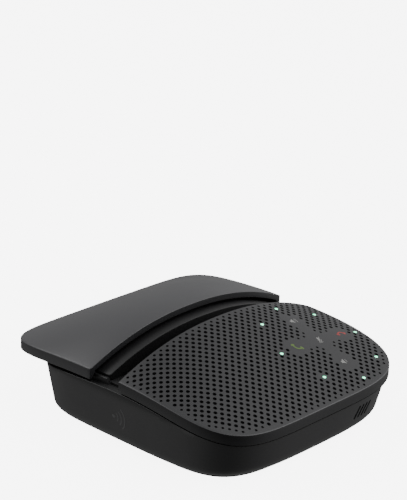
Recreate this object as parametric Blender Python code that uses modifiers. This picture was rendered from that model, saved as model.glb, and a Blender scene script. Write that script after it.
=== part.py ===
"""A conference speakerphone with a sliding rear cover that opens a slot for standing a phone.

Standalone Blender 4.5 script: blender --background --python part.py
The frame: X runs along the phone slot, Y to the rear (the way the cover opens), Z up.
The origin is on the surface that the part stands on, under the middle of the open part. The sizes and
places below are measured from the middle of the base instead, and everything moves forward at the end.
Sizes below are in millimetres; meshes are made in metres. The cover is modelled fully open.
"""

import math

import bmesh
import bpy
import numpy as np

MM = 0.001
GAP = 0.3

# Plan outline: a superellipse, blunter at the rear than at the front.
WIDTH = 120.0
DEPTH = 114.8
FRONT_POWER = 4.7
REAR_POWER = 7.3
OUTLINE_POINTS = 64

# Side view: the edge where top meets skirt is an arch, and the top is domed above it.
EDGE_PEAK_Z = 31.6
EDGE_PEAK_Y = 5.7
EDGE_FRONT_DROP = 9.2
EDGE_REAR_DROP = 3.0
CROWN = 12.5
CROWN_POWER = 1.15
CROSS_POWER = 2.2
SKIRT = 4.7
REAR_RISE = 0.24

# The split between grille and cover, and the cover's travel.
SPLIT_Y = 3.0
TRAVEL = 16.3
SHELL = 1.8
COVER_SHELL = 2.0
COVER_FRONT = 2.9
LIP_INSET = 2.5
LIP = 1.6

# Phone slot.
SLOT_FLOOR_Z = 27.2
SLOT_BACK_Y = 13.1
DECK_DROP = 4.4
DECK_INSET = 5.2

# Base walls.
WALL_TAPER = 0.148
WALL = 2.0
BASE_BOTTOM_Z = 1.0
FLOOR_INSET = 7.4

# Controls: a ring of lights round a touch area.
CONTROL_X = 30.3
CONTROL_Y = -27.5
LIGHT_RING_RADIUS = 24.9
LIGHTS = 8
LIGHT_PIPE_RADIUS = 0.62

# Speaker.
SPEAKER_X = -22.0
SPEAKER_Y = -25.0
SPEAKER_RADIUS = 19.0
SPEAKER_TOP_Z = 23.8
CHAMBER_BOTTOM_Z = 8.4

# Side buttons and headset socket, on the right-hand wall.
BUTTON_Z = 14.0
POWER_Y = 16.0
PAIRING_Y = 28.0
BUTTON_LENGTH = 8.0
BUTTON_HEIGHT = 3.4
JACK_Y = 41.0

# Underside: cord channel and screws.
CHANNEL_INSET = 13.0
CHANNEL_WIDTH = 7.0
CHANNEL_DEPTH = 4.6
PLATE = 2.4
SCREW_PLACES = [(4.0, -31.0), (33.0, -19.0), (-32.0, 28.0), (32.0, 28.0)]

HALF_WIDTH = WIDTH / 2
HALF_DEPTH = DEPTH / 2


# ---------------------------------------------------------------- scene and materials


def clear_scene():
    for item in list(bpy.data.objects):
        bpy.data.objects.remove(item, do_unlink=True)


clear_scene()
parts = bpy.data.collections.new("speakerphone")
cutters = bpy.data.collections.new("cutters")
for collection in (parts, cutters):
    bpy.context.scene.collection.children.link(collection)


def material(name, color, roughness, metallic=0.0):
    """A Principled material, shared by name."""
    found = bpy.data.materials.get(name)
    if found:
        return found
    made = bpy.data.materials.new(name)
    made.use_nodes = True
    shader = made.node_tree.nodes["Principled BSDF"]
    shader.inputs["Base Color"].default_value = (*color, 1.0)
    shader.inputs["Roughness"].default_value = roughness
    shader.inputs["Metallic"].default_value = metallic
    made.diffuse_color = (*color, 1.0)
    return made


BLACK_ABS = material("black_abs", (0.028, 0.028, 0.029), 0.55)
COVER_ABS = material("cover_abs", (0.05, 0.05, 0.052), 0.45)
GRILLE_ABS = material("grille_abs", (0.06, 0.06, 0.062), 0.5)
DARK_ABS = material("dark_abs", (0.012, 0.012, 0.012), 0.5)
RUBBER = material("rubber", (0.015, 0.015, 0.015), 0.8)
BOARD = material("board", (0.01, 0.12, 0.04), 0.5)
STEEL = material("steel", (0.55, 0.55, 0.56), 0.35, 1.0)
SPRING_STEEL = material("spring_steel", (0.06, 0.06, 0.065), 0.4, 1.0)
MAGNET = material("magnet", (0.2, 0.2, 0.21), 0.4, 1.0)
CLEAR = material("clear_acrylic", (0.8, 0.95, 0.9), 0.1)
CELL = material("cell_wrap", (0.35, 0.36, 0.38), 0.4)
COPPER = material("copper", (0.8, 0.42, 0.25), 0.35, 1.0)
PAPER = material("paper_cone", (0.03, 0.03, 0.035), 0.7)
ACETAL = material("black_acetal", (0.02, 0.02, 0.02), 0.4)


# ---------------------------------------------------------------- the body's form


def half_width_at(y):
    """Half the outline's width at a depth y."""
    y = np.asarray(y, float)
    power = np.where(y > 0, REAR_POWER, FRONT_POWER)
    share = np.clip(np.abs(y) / HALF_DEPTH, 0, 1)
    return HALF_WIDTH * (1 - share**power) ** (1 / power)


def edge_z(y):
    """Height of the edge between top and skirt: an arch that falls to the front and the rear."""
    y = np.asarray(y, float)
    front = (EDGE_PEAK_Y - y) / (EDGE_PEAK_Y + HALF_DEPTH)
    rear = np.clip((y - EDGE_PEAK_Y) / (HALF_DEPTH - EDGE_PEAK_Y), 0, None)
    return EDGE_PEAK_Z - np.where(y < EDGE_PEAK_Y, EDGE_FRONT_DROP * front**2, EDGE_REAR_DROP * rear**1.6)


def seam_z(y):
    """Height of the skirt's lower edge."""
    return edge_z(y) - SKIRT


def centre_z(y):
    """Height of the top on the centre line: a power curve to the split, then a cubic to the rear edge."""
    y = np.asarray(y, float)
    share = np.clip((y + HALF_DEPTH) / (SPLIT_Y + HALF_DEPTH), 0, None)
    front = edge_z(y) + CROWN * share**CROWN_POWER
    start = float(edge_z(SPLIT_Y)) + CROWN
    run = HALF_DEPTH - SPLIT_Y
    fall = start + REAR_RISE * run - float(edge_z(HALF_DEPTH))
    cubic = 0.5 * fall / run**3
    square = 1.5 * fall / run**2
    past = np.clip(y - SPLIT_Y, 0, run)
    rear = start + REAR_RISE * past - square * past**2 + cubic * past**3
    return np.where(y < SPLIT_Y, front, rear)


def top_z(x, y):
    """Height of the domed top at any place inside the outline."""
    x, y = np.asarray(x, float), np.asarray(y, float)
    y = np.clip(y, -HALF_DEPTH, HALF_DEPTH)
    across = np.clip(np.abs(x) / np.maximum(half_width_at(y), 0.01), 0, 1)
    low = edge_z(y)
    return low + (centre_z(y) - low) * (1 - across**CROSS_POWER)


def wall_inset(z):
    """How far the base wall stands inside the plan outline at a height z."""
    return 0.05 + WALL_TAPER * np.maximum(24.2 - z, 0)


def outline(inset=0.0, count=OUTLINE_POINTS):
    """The whole plan outline, anticlockwise, moved in by an inset."""
    angle = np.linspace(0, 2 * np.pi, count, endpoint=False) + np.pi / count
    c, s = np.cos(angle), np.sin(angle)
    power = np.where(s > 0, REAR_POWER, FRONT_POWER)
    x = (HALF_WIDTH - inset) * np.sign(c) * np.abs(c) ** (2 / power)
    y = (HALF_DEPTH - inset) * np.sign(s) * np.abs(s) ** (2 / power)
    return np.stack([x, y], 1)


def front_outline(inset=0.0, back=SPLIT_Y):
    """The part of the outline in front of a straight back edge, closed along that edge."""
    full = outline(inset, 4 * OUTLINE_POINTS)
    curve = full[full[:, 1] < back - inset - 1.0]
    start = np.argmax(np.hypot(*(curve - np.roll(curve, 1, axis=0)).T))
    curve = np.roll(curve, -start, axis=0)[::4]
    return close_with_line(curve, back - inset, 13)


def rear_outline(inset=0.0, front=SPLIT_Y):
    """The part of the outline behind a straight front edge, closed along that edge."""
    full = outline(inset, 4 * OUTLINE_POINTS)
    curve = full[full[:, 1] > front + inset + 1.0]
    start = np.argmax(np.hypot(*(curve - np.roll(curve, 1, axis=0)).T))
    curve = np.roll(curve, -start, axis=0)[::4]
    return close_with_line(curve, front + inset, 13)


def close_with_line(curve, y, count):
    """Joins a curve's last point to its first along a straight line at a depth y."""
    last = abs(curve[-1, 0]) * np.sign(curve[-1, 0])
    line = np.stack([np.linspace(last, -last, count), np.full(count, y)], 1)
    return np.concatenate([curve, line])


# ---------------------------------------------------------------- makers


def add_object(name, mesh, mat, collection=parts):
    made = bpy.data.objects.new(name, mesh)
    mesh.materials.append(mat)
    collection.objects.link(made)
    if collection is cutters:
        made.hide_render = True
        made.display_type = "WIRE"
    return made


def mesh_from(name, points, faces):
    mesh = bpy.data.meshes.new(name)
    mesh.from_pydata((np.asarray(points) * MM).tolist(), [], faces)
    return mesh


def ring(plan, z):
    """A closed ring of 3-D points from plan points and their heights."""
    return np.column_stack([plan, np.broadcast_to(z, len(plan))])


def loft(name, rings, mat, start=None, end=None, collection=parts):
    """A closed solid skinned over rings; start and end are poles, or both are None for a closed loop."""
    count = len(rings[0])
    points = list(np.concatenate(rings))
    faces = []
    pairs = list(zip(range(len(rings)), range(1, len(rings))))
    if start is None:
        pairs.append((len(rings) - 1, 0))
    for low, high in pairs:
        for i in range(count):
            j = (i + 1) % count
            faces.append((low * count + i, low * count + j, high * count + j, high * count + i))
    if start is not None:
        points += [start, end]
        for i in range(count):
            j = (i + 1) % count
            faces.append((j, i, len(points) - 2))
            faces.append(((len(rings) - 1) * count + i, (len(rings) - 1) * count + j, len(points) - 1))
    mesh = mesh_from(name, points, faces)
    finish = bmesh.new()
    finish.from_mesh(mesh)
    bmesh.ops.recalc_face_normals(finish, faces=finish.faces)
    finish.to_mesh(mesh)
    finish.free()
    mesh.shade_smooth()
    mesh.set_sharp_from_angle(angle=math.radians(35))
    return add_object(name, mesh, mat, collection)


def box(name, low, high, mat, bevel=0.0, collection=parts):
    """A block between two corners, its scale applied before any bevel."""
    bpy.ops.mesh.primitive_cube_add(size=1)
    made = bpy.context.object
    made.name = name
    size = [(b - a) * MM for a, b in zip(low, high)]
    middle = [(b + a) / 2 * MM for a, b in zip(low, high)]
    for vertex in made.data.vertices:
        vertex.co = [c * s for c, s in zip(vertex.co, size)]
    made.location = middle
    if bevel:
        edge = made.modifiers.new("bevel", "BEVEL")
        edge.width = bevel * MM
        edge.segments = 2
    rehome(made, mat, collection)
    return made


def rehome(made, mat, collection):
    """Moves an object that an operator made into its collection and gives it its material."""
    for owner in list(made.users_collection):
        owner.objects.unlink(made)
    collection.objects.link(made)
    made.data.materials.append(mat)
    if collection is cutters:
        made.hide_render = True
        made.display_type = "WIRE"


def cylinder(name, centre, radius, height, mat, axis="Z", sides=32, collection=parts):
    """A cylinder centred on a point, along one axis."""
    turn = {"Z": (0, 0, 0), "X": (0, math.pi / 2, 0), "Y": (math.pi / 2, 0, 0)}[axis]
    bpy.ops.mesh.primitive_cylinder_add(
        vertices=sides,
        radius=radius * MM,
        depth=height * MM,
        location=[c * MM for c in centre],
        rotation=turn,
    )
    made = bpy.context.object
    made.name = name
    made.data.shade_smooth()
    made.data.set_sharp_from_angle(angle=math.radians(35))
    rehome(made, mat, collection)
    return made


def turned(name, profile, place, mat, axis="Z", sides=40, collection=parts):
    """A turned piece: a profile of (radius, height) run down its outer side, spun by a Screw."""
    mesh = bpy.data.meshes.new(name)
    mesh.from_pydata([(r * MM, 0.0, z * MM) for r, z in profile], profile_edges(profile), [])
    made = add_object(name, mesh, mat, collection)
    made.location = [c * MM for c in place]
    made.rotation_euler = {"Z": (0, 0, 0), "X": (0, math.pi / 2, 0)}[axis]
    spin = made.modifiers.new("spin", "SCREW")
    spin.steps = sides
    spin.render_steps = sides
    spin.use_merge_vertices = True
    spin.merge_threshold = 0.00001
    spin.use_smooth_shade = False
    return made


def profile_edges(profile):
    """Edges along a profile, closed unless both of its ends are on the axis."""
    edges = [(i, i + 1) for i in range(len(profile) - 1)]
    if profile[0][0] > 0:
        edges.append((len(profile) - 1, 0))
    return edges


def cut(target, cutter):
    step = target.modifiers.new(cutter.name, "BOOLEAN")
    step.operation = "DIFFERENCE"
    step.object = cutter


def join(target, other):
    """Unites a helper solid with a target."""
    step = target.modifiers.new(other.name, "BOOLEAN")
    step.operation = "UNION"
    step.object = other


def plate(name, plan, low, high, mat, collection=parts):
    """A flat plate from a plan outline: a filled 2-D curve, extruded, then made a mesh."""
    curve = bpy.data.curves.new(name, "CURVE")
    curve.dimensions = "2D"
    curve.fill_mode = "BOTH"
    curve.extrude = (high - low) / 2 * MM
    spline = curve.splines.new("POLY")
    spline.points.add(len(plan) - 1)
    for point, (x, y) in zip(spline.points, plan):
        point.co = (x * MM, y * MM, 0, 1)
    spline.use_cyclic_u = True
    holder = bpy.data.objects.new(name + "_curve", curve)
    parts.objects.link(holder)
    holder.location = (0, 0, (low + high) / 2 * MM)
    bpy.context.view_layer.update()
    graph = bpy.context.evaluated_depsgraph_get()
    mesh = bpy.data.meshes.new_from_object(holder.evaluated_get(graph))
    mesh.materials.clear()
    weld = bmesh.new()
    weld.from_mesh(mesh)
    bmesh.ops.remove_doubles(weld, verts=weld.verts, dist=0.000001)
    bmesh.ops.recalc_face_normals(weld, faces=weld.faces)
    weld.to_mesh(mesh)
    weld.free()
    made = add_object(name, mesh, mat, collection)
    made.matrix_world = holder.matrix_world
    bpy.data.objects.remove(holder, do_unlink=True)
    return made


# ---------------------------------------------------------------- domed shells


def scaled(plan, centre, share):
    return centre + share * (plan - centre)


DOME_SHARES = (0.3, 0.55, 0.75, 0.9)


def domed_shell(name, make_outline, centre, thickness, bottom, mat):
    """A domed cap with a skirt: outer dome, skirt, then the inner skirt and inner dome back to the middle."""
    centre = np.array(centre, float)
    outer = make_outline(0.0)
    soft = make_outline(0.6)
    inner = make_outline(thickness)
    rings = [ring(p, top_z(*p.T)) for p in (scaled(soft, centre, s) for s in DOME_SHARES)]
    rings.append(ring(soft, top_z(*soft.T)))
    rings.append(ring(outer, top_z(*outer.T) - 0.5))
    rings.append(ring(outer, bottom(*outer.T)))
    rings.append(ring(inner, bottom(*inner.T)))
    rings.append(ring(inner, top_z(*inner.T) - thickness))
    rings += [
        ring(p, top_z(*p.T) - thickness) for p in (scaled(inner, centre, s) for s in reversed(DOME_SHARES))
    ]
    start = (*centre, float(top_z(*centre)))
    end = (*centre, float(top_z(*centre)) - thickness)
    return loft(name, rings, mat, start, end)


def make_grille_cap():
    """The front cap: dome over the speaker and controls, with a wall along the slot."""

    def bottom(x, y):
        return np.where(y > SPLIT_Y - 2.5, SLOT_FLOOR_Z + GAP, seam_z(y))

    made = domed_shell("grille_cap", front_outline, (0.0, -24.0), SHELL, bottom, GRILLE_ABS)
    for index, (x, y) in enumerate(light_places()):
        hole = cylinder(f"light_hole_{index + 1}", (x, y, 32.0), LIGHT_PIPE_RADIUS + GAP, 24.0, DARK_ABS,
                        sides=12, collection=cutters)
        cut(made, hole)
    return made


def light_places():
    angles = [2 * math.pi * i / LIGHTS for i in range(LIGHTS)]
    r = LIGHT_RING_RADIUS
    return [(CONTROL_X + r * math.cos(a), CONTROL_Y + r * math.sin(a)) for a in angles]


def make_stand_cover():
    """The rear cover, in its open place: a shell that carries on the dome, with a skirt on three sides."""

    def bottom(x, y):
        front = (y < SPLIT_Y + GAP + 2.5) & (np.abs(x) < HALF_WIDTH - 1.0)
        return np.where(front, top_z(x, y) - COVER_FRONT, seam_z(y))

    def plan(inset):
        return rear_outline(inset, SPLIT_Y + GAP)

    made = domed_shell("stand_cover", plan, (0.0, 31.0), COVER_SHELL, bottom, COVER_ABS)
    made.location.y = TRAVEL * MM
    return made


# ---------------------------------------------------------------- base, deck and underside


def make_base_shell():
    """The outer wall: lip behind the skirts, shoulder under the seam, tapered wall, rounded foot."""
    low = float(seam_z(-HALF_DEPTH)) - 1.6
    heights = (low, 11.0, 6.0, 4.4, 3.0, 1.9, BASE_BOTTOM_Z)
    extra = (0.0, 0.0, 0.0, 0.1, 0.5, 1.2, 2.6)
    lip_out, lip_in, shoulder = outline(LIP_INSET), outline(LIP_INSET + LIP), outline(0.35)
    rings = [
        ring(lip_in, seam_z(lip_in[:, 1]) + 1.3),
        ring(lip_out, seam_z(lip_out[:, 1]) + 1.3),
        ring(lip_out, seam_z(lip_out[:, 1]) - GAP),
        ring(outline(0.9), seam_z(outline(0.9)[:, 1]) - GAP),
        ring(shoulder, seam_z(shoulder[:, 1]) - 0.8),
    ]
    for z, more in zip(heights, extra):
        rings.append(ring(outline(wall_inset(z) + more), z))
    floor = outline(FLOOR_INSET)
    rings.append(ring(floor, BASE_BOTTOM_Z))
    rings.append(ring(floor, BASE_BOTTOM_Z + 2.0))
    for z, more in ((4.4, 1.2), (7.0, 0.2), (low, 0.0)):
        rings.append(ring(outline(wall_inset(z) + more + WALL), z))
    made = loft("base_shell", rings, BLACK_ABS)
    cut_side_openings(made)
    cut_vents(made)
    cut_touch_mark(made)
    return made


def cut_side_openings(shell):
    for name, y in (("power", POWER_Y), ("pairing", PAIRING_Y)):
        low = (52.0, y - BUTTON_LENGTH / 2 - GAP, BUTTON_Z - BUTTON_HEIGHT / 2 - GAP)
        high = (64.0, y + BUTTON_LENGTH / 2 + GAP, BUTTON_Z + BUTTON_HEIGHT / 2 + GAP)
        cut(shell, box(name + "_opening", low, high, DARK_ABS, collection=cutters))
    cut(shell, cylinder("jack_opening", (56, JACK_Y, BUTTON_Z), 3.2 + GAP, 14, DARK_ABS, "X", 24, cutters))


VENTS = 4
VENT_X = 28.2
VENT_PITCH = 2.7
VENT_WIDTH = 1.1
VENT_LENGTH = 6.2
VENT_Z = 10.2
VENT_LEAN = math.radians(26)


def cut_vents(shell):
    """A row of slanted slots in the front wall."""
    for index in range(VENTS):
        x = VENT_X + (index - (VENTS - 1) / 2) * VENT_PITCH
        slot = box(f"vent_slot_{index + 1}", (-VENT_WIDTH / 2, -8, -VENT_LENGTH / 2),
                   (VENT_WIDTH / 2, 8, VENT_LENGTH / 2), DARK_ABS, collection=cutters)
        slot.location = (x * MM, -55.5 * MM, VENT_Z * MM)
        slot.rotation_euler.y = VENT_LEAN
        cut(shell, slot)


MARK_Y = 4.0
MARK_Z = 14.6
MARK_ARCS = (2.6, 4.8, 7.0)


def cut_touch_mark(shell):
    """A plain debossed touch point on the left wall: a dot and three arcs."""
    x = -(HALF_WIDTH - float(wall_inset(MARK_Z)))
    dot = cylinder("mark_dot", (x, MARK_Y - 4.0, MARK_Z), 0.9, 0.8, DARK_ABS, "X", 16, cutters)
    cut(shell, dot)
    for index, radius in enumerate(MARK_ARCS):
        name = f"mark_arc_{index + 1}"
        angles = np.linspace(-0.85, 0.85, 9)
        inner, outer = radius - 0.28, radius + 0.28
        plan = [(inner * math.cos(a), inner * math.sin(a)) for a in angles]
        plan += [(outer * math.cos(a), outer * math.sin(a)) for a in reversed(angles)]
        arc = plate(name, plan, -0.45, 0.45, DARK_ABS, cutters)
        arc.rotation_euler = (math.pi / 2, 0, math.pi / 2)
        arc.location = (x * MM, (MARK_Y - 4.0) * MM, MARK_Z * MM)
        cut(shell, arc)


def deck_top(x, y):
    return top_z(x, y) - DECK_DROP


def make_deck():
    """The fixed deck under the cover: a domed platform whose front wall is the back of the phone slot."""
    centre = np.array([0.0, 33.0])

    def plan(inset):
        return rear_outline(DECK_INSET + inset, SLOT_BACK_Y - DECK_INSET)

    thick = 2.0
    outer, soft, inner = plan(0.0), plan(0.5), plan(thick)
    foot = np.maximum(seam_z(outer[:, 1]) - 1.5, 20.0)
    rings = [ring(p, deck_top(*p.T)) for p in (scaled(soft, centre, s) for s in DOME_SHARES)]
    rings.append(ring(soft, deck_top(*soft.T)))
    rings.append(ring(outer, deck_top(*outer.T) - 0.4))
    rings.append(ring(outer, foot))
    rings.append(ring(inner, foot))
    rings.append(ring(inner, deck_top(*inner.T) - thick))
    for share in reversed(DOME_SHARES):
        plan = scaled(inner, centre, share)
        rings.append(ring(plan, deck_top(*plan.T) - thick))
    start = (*centre, float(deck_top(*centre)))
    end = (*centre, float(deck_top(*centre)) - thick)
    return loft("deck", rings, DARK_ABS, start, end)


SLOT_HALF = 55.5


def make_slot_parts():
    """The slot's floor plate and the rubber strips that a phone stands on and leans on."""
    back = SLOT_BACK_Y - GAP
    box("slot_floor", (-SLOT_HALF, -3.0, SLOT_FLOOR_Z - 1.7), (SLOT_HALF, back, SLOT_FLOOR_Z), DARK_ABS)
    low, high = (-46, SPLIT_Y + 0.8, SLOT_FLOOR_Z + GAP), (46, SLOT_BACK_Y - 0.8, SLOT_FLOOR_Z + 0.9)
    box("slot_pad", low, high, RUBBER, 0.2)


def make_bottom_cover():
    """The underside plate, with a channel that runs round it for winding the captive cord into."""
    channel_top = BASE_BOTTOM_Z + CHANNEL_DEPTH
    steps = [
        (FLOOR_INSET + GAP, BASE_BOTTOM_Z),
        (CHANNEL_INSET, BASE_BOTTOM_Z),
        (CHANNEL_INSET, channel_top),
        (CHANNEL_INSET + CHANNEL_WIDTH, channel_top),
        (CHANNEL_INSET + CHANNEL_WIDTH, BASE_BOTTOM_Z),
        (CHANNEL_INSET + CHANNEL_WIDTH + 12, BASE_BOTTOM_Z),
    ]
    back = [(max(inset - PLATE * side, FLOOR_INSET + GAP), z + PLATE) for inset, z, side in [
        (steps[5][0], BASE_BOTTOM_Z, 0),
        (steps[4][0] + PLATE, BASE_BOTTOM_Z, 0),
        (steps[3][0] + PLATE, channel_top, 0),
        (steps[2][0], channel_top, 1),
        (steps[1][0], BASE_BOTTOM_Z, 1),
        (steps[0][0], BASE_BOTTOM_Z, 0),
    ]]
    under = [ring(outline(inset), z) for inset, z in reversed(steps)]
    upper = [ring(outline(inset), z) for inset, z in reversed(back)]
    poles = (0, 0, BASE_BOTTOM_Z), (0, 0, BASE_BOTTOM_Z + PLATE)
    made = loft("bottom_cover", under + upper, BLACK_ABS, *poles)
    for index, (x, y) in enumerate(SCREW_PLACES):
        hole = [(0, 9.0), (1.5, 9.0), (1.5, 2.9), (3.0, 2.9), (3.0, 0.0), (0, 0.0)]
        cut(made, turned(f"screw_hole_{index + 1}", hole, (x, y, 0), DARK_ABS, sides=20, collection=cutters))
    gland = cylinder("gland_hole", (*GLAND_PLACE, 6.0), 2.6 + GAP, 8, DARK_ABS, sides=24, collection=cutters)
    cut(made, gland)
    return made


GLAND_PLACE = (0.0, HALF_DEPTH - CHANNEL_INSET - CHANNEL_WIDTH / 2)


def make_underside_parts():
    """The rubber foot ring, the cord's gland, and the cover's screws."""
    foot_low, foot_high = 8.6, 12.2
    rings = [
        ring(outline(foot_low), BASE_BOTTOM_Z - GAP),
        ring(outline(foot_low), 0.25),
        ring(outline(foot_low + 0.3), 0.0),
        ring(outline(foot_high - 0.3), 0.0),
        ring(outline(foot_high), 0.25),
        ring(outline(foot_high), BASE_BOTTOM_Z - GAP),
    ]
    loft("foot_ring", rings, RUBBER)
    top = BASE_BOTTOM_Z + CHANNEL_DEPTH
    gland = [(2.6, top + 4.4), (2.6, top - GAP), (3.1, top - GAP), (3.1, top - 1.3)]
    gland += [(1.8, top - 1.3), (1.8, top + 4.4)]
    turned("cord_gland", gland, (*GLAND_PLACE, 0), RUBBER, sides=24)
    for index, (x, y) in enumerate(SCREW_PLACES):
        profile = [(0, 11.0), (1.2, 10.6), (1.2, 2.6), (2.7, 2.6), (2.7, 1.5), (2.2, 1.2), (0, 1.2)]
        turned(f"screw_{index + 1}", profile, (x, y, 0), STEEL, sides=20)


# ---------------------------------------------------------------- cover slide


RAIL_X = 30.0
RAIL_WIDTH = 4.0
RAIL_Y = (9.0, 39.0)


def strip(name, span, run, surface, thickness, mat, shift=0.0):
    """A strip that follows a surface: its upper face is on it, from one depth to another."""
    rings = []
    for y in np.linspace(run[0], run[1], 9):
        high = [float(surface(x, y)) for x in span]
        section = [
            (span[0], y + shift, high[0]),
            (span[1], y + shift, high[1]),
            (span[1], y + shift, high[1] - thickness),
            (span[0], y + shift, high[0] - thickness),
        ]
        rings.append(np.array(section))
    return loft(name, rings, mat, tuple(rings[0].mean(0)), tuple(rings[-1].mean(0)))


def make_slide():
    """Rails under the cover run beside guides on the deck; a leaf spring's friction holds the cover."""

    def under_cover(x, y):
        return top_z(x, y) - COVER_SHELL - 2 * GAP

    def over_deck(lift):
        return lambda x, y: deck_top(x, y) + lift

    for side, sign in (("left", -1), ("right", 1)):
        inner, outer = RAIL_X - RAIL_WIDTH / 2, RAIL_X + RAIL_WIDTH / 2
        rail = sorted((sign * inner, sign * outer))
        guide = sorted((sign * (outer + GAP), sign * (outer + GAP + 1.6)))
        strip(f"cover_rail_{side}", rail, RAIL_Y, under_cover, 1.0, ACETAL, TRAVEL)
        strip(f"slide_guide_{side}", guide, (23.5, 49.0), over_deck(GAP + 1.1), 1.1, ACETAL)
    strip("detent_spring", (-4.0, 4.0), (24.0, 46.0), over_deck(GAP + 0.5), 0.5, SPRING_STEEL)


# ---------------------------------------------------------------- controls and electronics


def disc_under_dome(name, centre, radii, depth, thickness, mat):
    """A disc, or a ring, that follows the dome at a depth below the top."""
    angle = np.linspace(0, 2 * np.pi, 40, endpoint=False)
    circle = np.stack([np.cos(angle), np.sin(angle)], 1)
    centre = np.array(centre)
    inner, outer = radii

    def level(plan, drop):
        return ring(plan, top_z(*plan.T) - drop)

    if inner:
        rings = [
            level(centre + circle * inner, depth),
            level(centre + circle * outer, depth),
            level(centre + circle * outer, depth + thickness),
            level(centre + circle * inner, depth + thickness),
        ]
        return loft(name, rings, mat)
    shares = (0.35, 0.7, 1.0)
    rings = [level(centre + circle * outer * s, depth) for s in shares]
    rings += [level(centre + circle * outer * s, depth + thickness) for s in reversed(shares)]
    high = (*centre, float(top_z(*centre)) - depth)
    low = (*centre, float(top_z(*centre)) - depth - thickness)
    return loft(name, rings, mat, high, low)


def make_controls():
    """Touch film, lights and their board, in layers under the dome."""
    centre = (CONTROL_X, CONTROL_Y)
    disc_under_dome("touch_film", centre, (0, 21.5), SHELL + 0.6, 0.4, COPPER)
    guide = disc_under_dome("light_guide", centre, (23.2, 26.2), SHELL + 0.5, 1.0, CLEAR)
    for index, (x, y) in enumerate(light_places()):
        top = float(top_z(x, y)) - 0.25
        pipe = cylinder(f"light_pipe_{index + 1}", (x, y, top - 1.2), LIGHT_PIPE_RADIUS, 2.4, CLEAR,
                        sides=12, collection=cutters)
        join(guide, pipe)
    disc_under_dome("control_board", centre, (0, 21.5), SHELL + 2.4, 1.0, BOARD)


def make_speaker():
    """A small driver that fires up through the grille, on its own rear chamber."""
    r, top = SPEAKER_RADIUS, SPEAKER_TOP_Z
    place = (SPEAKER_X, SPEAKER_Y, 0)
    low = CHAMBER_BOTTOM_Z
    chamber = [
        (r + 1.0, top - 2.0), (r + 1.0, low), (0, low), (0, low + 1.2),
        (r - 0.4, low + 1.2), (r - 0.4, top - 2.0),
    ]
    disc_under_dome("speaker_cloth", (SPEAKER_X, SPEAKER_Y), (0, 21.5), SHELL + 0.5, 0.3, PAPER)
    basket = [
        (r, top), (r, top - 1.6), (r - 2.5, top - 1.6), (r - 7.5, top - 9.0), (r - 13, top - 9.0),
        (r - 13, top - 8.2), (r - 8.2, top - 8.2), (r - 3.4, top - 1.0), (r - 3.4, top),
    ]
    surround = [
        (r - 0.6, top + 0.9), (r - 0.6, top + 0.35), (r - 3.0, top + 0.35), (r - 5.2, top - 0.7),
        (r - 5.2, top - 0.2), (r - 3.6, top + 0.9), (r - 2.0, top + 1.5),
    ]
    cone = [(r - 5.5, top - 0.4), (r - 5.5, top - 0.9), (5.6, top - 5.4), (5.6, top - 4.9)]
    coil = [(4.6, top - 5.4), (4.6, top - 10.4), (4.0, top - 10.4), (4.0, top - 5.4)]
    cap = [(0, top - 2.6), (3.0, top - 3.2), (5.2, top - 4.9)]
    cap += [(4.8, top - 5.1), (2.8, top - 3.8), (0, top - 3.1)]
    magnet = [(10.0, top - 9.3), (10.0, top - 13.8), (0, top - 13.8), (0, top - 12.0), (3.4, top - 12.0),
              (3.4, top - 10.9), (5.2, top - 10.9), (5.2, top - 9.3)]
    turned("speaker_chamber", drop_axis(chamber), place, DARK_ABS)
    turned("speaker_basket", basket, place, STEEL)
    turned("speaker_surround", surround, place, RUBBER)
    turned("speaker_cone", cone, place, PAPER)
    turned("voice_coil", coil, place, COPPER)
    turned("dust_cap", drop_axis(cap), place, PAPER)
    turned("speaker_magnet", drop_axis(magnet), place, MAGNET)


def drop_axis(profile):
    """Puts a profile's on-axis points first and last, so that it closes on the axis."""
    on = [i for i, (r, _) in enumerate(profile) if r == 0]
    if on == [0, len(profile) - 1]:
        return profile
    start = on[1]
    return profile[start:] + profile[: on[0] + 1]


def make_chassis():
    """The mid plate: bosses for the base screws, and a hole for the speaker chamber."""
    made = plate("chassis", outline(10.0), 14.4, 15.6, DARK_ABS)
    for index, (x, y) in enumerate(SCREW_PLACES):
        boss = cylinder(f"boss_{index + 1}", (x, y, 9.3), 3.4, 10.8, DARK_ABS, sides=20, collection=cutters)
        join(made, boss)
        bore = cylinder(f"bore_{index + 1}", (x, y, 8.0), 1.5, 10.0, DARK_ABS, sides=16, collection=cutters)
        cut(made, bore)
    hole = cylinder("chamber_hole", (SPEAKER_X, SPEAKER_Y, 15), SPEAKER_RADIUS + 1.3, 8, DARK_ABS,
                    sides=40, collection=cutters)
    cut(made, hole)
    low, high = (44.5, JACK_Y - 3.8, 10), (54, JACK_Y + 3.8, 20)
    cut(made, box("jack_notch", low, high, DARK_ABS, collection=cutters))
    return made


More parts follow.
